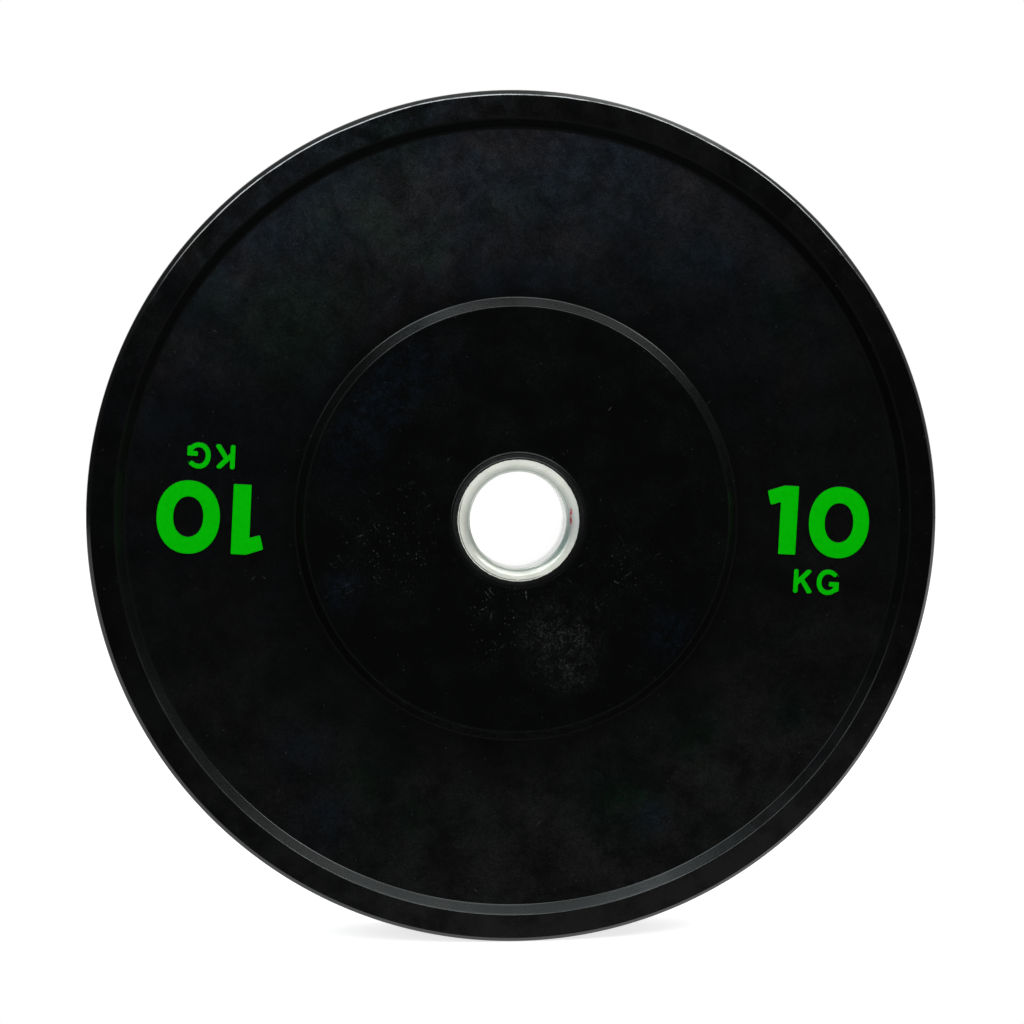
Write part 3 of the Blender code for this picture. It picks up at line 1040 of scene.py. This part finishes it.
def zinc_roughness(look, in_bore, deep):
    """Satin outside and more polished in the bore."""
    satin = look.step(look.noise(2.5 * MM, 5.0, 0.65), 0.3, 0.7, 0.29, 0.41)
    polish = look.step(deep, 0.0, 1.0, 0.26, 0.10)
    outside = look.maths('SUBTRACT', 1.0, in_bore)
    return look.maths('ADD', look.maths('MULTIPLY', satin, outside),
                      look.maths('MULTIPLY', polish, in_bore))


def zinc_metal(look, in_bore, deep):
    """How much the plating shines like metal: more low down, by the bore and deep in it."""
    metal = look.step(look.radius, STEP_RADIUS, STEP_RADIUS + 4.0 * MM, 0.50, 0.22)
    metal = look.maths('MULTIPLY', metal, look.step(look.z, -10 * MM, 12 * MM, 1.25, 0.2))
    return look.maths('ADD', metal, all_of(look, in_bore, deep, 0.5))


def zinc_material():
    """Dull zinc plating: pale, faintly green, turned rings under it, rubbed spots and a red smear."""
    look = Shading("zinc_plated_steel")
    in_bore = look.step(look.radius, BORE_RADIUS + 0.1 * MM, BORE_RADIUS + 0.3 * MM, 1.0, 0.0)
    deep = look.step(look.y, -15 * MM, 5 * MM)
    frosted = look.step(in_bore, 0.0, 1.0, 1.0, 0.1)
    frost = look.bump(look.maths('MULTIPLY', look.noise(0.5 * MM, 4.0, 0.7), frosted),
                      0.03 * MM, 0.5)
    outward = look.node('ShaderNodeCombineXYZ', X=look.radius, Y=0.0, Z=0.0).outputs[0]
    rings = look.noise(0.35 * MM, 2.0, 0.5, 0.0, outward)

    look.feed(look.shader.inputs['Base Color'], zinc_colour(look, in_bore, deep))
    look.feed(look.shader.inputs['Roughness'], zinc_roughness(look, in_bore, deep))
    look.feed(look.shader.inputs['Metallic'], zinc_metal(look, in_bore, deep))
    look.feed(look.shader.inputs['Normal'], look.bump(rings, 0.01 * MM, 0.4, frost))
    return look.material


def paint_material():
    """Green paint rolled on to the raised marks."""
    look = Shading("green_paint")
    full = (0.0, 0.344, 0.0, 1)
    thin = (0.0, 0.318, 0.0, 1)
    cover = look.step(look.noise(2.2 * MM, 5.0, 0.6), 0.3, 0.55)
    look.feed(look.shader.inputs['Base Color'], look.mix(cover, thin, full))
    look.feed(look.shader.inputs['Roughness'],
              look.step(look.noise(1.2 * MM, 4.0, 0.6), 0.3, 0.7, 0.42, 0.54))
    look.feed(look.shader.inputs['Normal'], look.bump(look.noise(0.6 * MM), 0.02 * MM, 0.4))
    look.shader.inputs['Specular IOR Level'].default_value = 0.03
    return look.material


def bare_steel_material():
    """Sawn and welded steel of the anchor ring, which the rubber hides."""
    look = Shading("bare_steel")
    grey = (0.30, 0.29, 0.27, 1)
    scale = (0.09, 0.075, 0.065, 1)
    patches = look.step(look.noise(5 * MM, 6.0, 0.65, 0.5), 0.40, 0.62)
    look.feed(look.shader.inputs['Base Color'], look.mix(patches, grey, scale))
    look.feed(look.shader.inputs['Roughness'],
              look.step(look.noise(2 * MM, 4.0, 0.6), 0.3, 0.7, 0.45, 0.70))
    look.feed(look.shader.inputs['Normal'], look.bump(look.noise(0.8 * MM), 0.05 * MM, 0.6))
    look.shader.inputs['Metallic'].default_value = 1.0
    return look.material


def make_floor():
    """A pale floor under the plate, which reads white where nothing shades it."""
    body = bmesh.new()
    corners = [(-FLOOR_HALF_WIDTH, FLOOR_FRONT), (FLOOR_HALF_WIDTH, FLOOR_FRONT),
               (FLOOR_HALF_WIDTH, FLOOR_BACK), (-FLOOR_HALF_WIDTH, FLOOR_BACK)]
    body.faces.new([body.verts.new((x, y, FLOOR_LEVEL)) for x, y in corners])
    floor = piece_from(body, "floor")
    look = Shading("pale_floor")
    look.shader.inputs['Base Color'].default_value = FLOOR_GREY
    look.shader.inputs['Roughness'].default_value = 0.9
    look.shader.inputs['Specular IOR Level'].default_value = 0.0
    look.shader.inputs['Emission Color'].default_value = (*WHITE, 1)
    seen = look.node('ShaderNodeLightPath')
    rays = any_of(look, seen.outputs['Is Glossy Ray'], seen.outputs['Is Transmission Ray'],
                  seen.outputs['Is Camera Ray'])
    look.feed(look.shader.inputs['Emission Strength'], look.maths('MULTIPLY', rays, FLOOR_GLOW))
    floor.data.materials.append(look.material)


def make_world():
    """White to the camera. To the plate, bright overhead and behind, dim in front and far left."""
    world = bpy.data.worlds.new("studio")
    bpy.context.scene.world = world
    world.use_nodes = True
    sky = Nodes(world.node_tree)
    background = sky.tree.nodes['Background']
    background.inputs['Color'].default_value = (*WHITE, 1)
    way = sky.node('ShaderNodeTexCoord').outputs['Generated']
    x, y, z = sky.node('ShaderNodeSeparateXYZ', Vector=way).outputs
    ceiling = sky.step(z, -0.1, 0.8, 0.1, 0.6)
    off_front = sky.step(y, -0.4, 0.2, 0.06, 1.0)
    backdrop = sky.step(y, 0.1, 0.5, 0.0, 1.0)
    off_left = sky.step(x, -0.95, -0.35, 0.25, 1.0)
    above = sky.maths('MULTIPLY', ceiling, off_front)
    room = sky.maths('MULTIPLY', off_left, sky.maths('MAXIMUM', backdrop, above))
    seen = sky.node('ShaderNodeLightPath').outputs['Is Camera Ray']
    unseen = sky.maths('SUBTRACT', 1.0, seen)
    strength = sky.maths('ADD', seen, sky.maths('MULTIPLY', room, unseen))
    sky.feed(background.inputs['Strength'], strength)


def area_lamp(name, place, width, height, power, colour):
    """A soft rectangular lamp that points at the middle of the plate."""
    lamp = bpy.data.lights.new(name, 'AREA')
    lamp.shape = 'RECTANGLE'
    lamp.size = width
    lamp.size_y = height
    lamp.energy = power
    lamp.color = colour
    holder = bpy.data.objects.new(name, lamp)
    holder.location = place
    aim = Vector(LAMP_TARGET) - Vector(place)
    holder.rotation_euler = aim.to_track_quat('-Z', 'Y').to_euler()
    holder.visible_camera = False
    bpy.context.scene.collection.objects.link(holder)


def soft_sun(name, way, strength):
    """Even light from one side that leaves no highlight of its own."""
    sun = bpy.data.lights.new(name, 'SUN')
    sun.energy = strength
    sun.angle = FILL_ANGLE
    holder = bpy.data.objects.new(name, sun)
    holder.rotation_euler = Vector(way).to_track_quat('-Z', 'Y').to_euler()
    holder.visible_glossy = False
    bpy.context.scene.collection.objects.link(holder)


def make_lights():
    """Seven soft lamps in front, at the sides and overhead, and two fills."""
    for name, lamp in LAMPS.items():
        area_lamp(name, *lamp)
    for name, fill in FILLS.items():
        soft_sun(name, *fill)


def make_camera():
    """The photograph's view."""
    camera = bpy.data.cameras.new("camera")
    camera.lens = CAMERA_LENS
    camera.sensor_width = CAMERA_SENSOR_WIDTH
    holder = bpy.data.objects.new("camera", camera)
    holder.location = CAMERA_PLACE
    aim = Vector(CAMERA_TARGET) - holder.location
    holder.rotation_euler = aim.to_track_quat('-Z', 'Y').to_euler()
    bpy.context.scene.collection.objects.link(holder)
    bpy.context.scene.camera = holder


def dress_anchor_ring(material):
    """Give the ring that the frame carries its own material."""
    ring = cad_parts["anchor_ring"]
    ring.data.materials.clear()
    ring.data.materials.append(material)


def main():
    bpy.context.scene.view_settings.view_transform = 'Standard'
    make_camera()
    rubber = rubber_material()
    make_rubber(rubber)
    make_bush(zinc_material())
    make_flash(rubber, "rubber_flash_front", -1)
    make_flash(rubber, "rubber_flash_back", 1)
    make_marks(rubber, paint_material())
    dress_anchor_ring(bare_steel_material())
    make_floor()
    make_world()
    make_lights()


main()
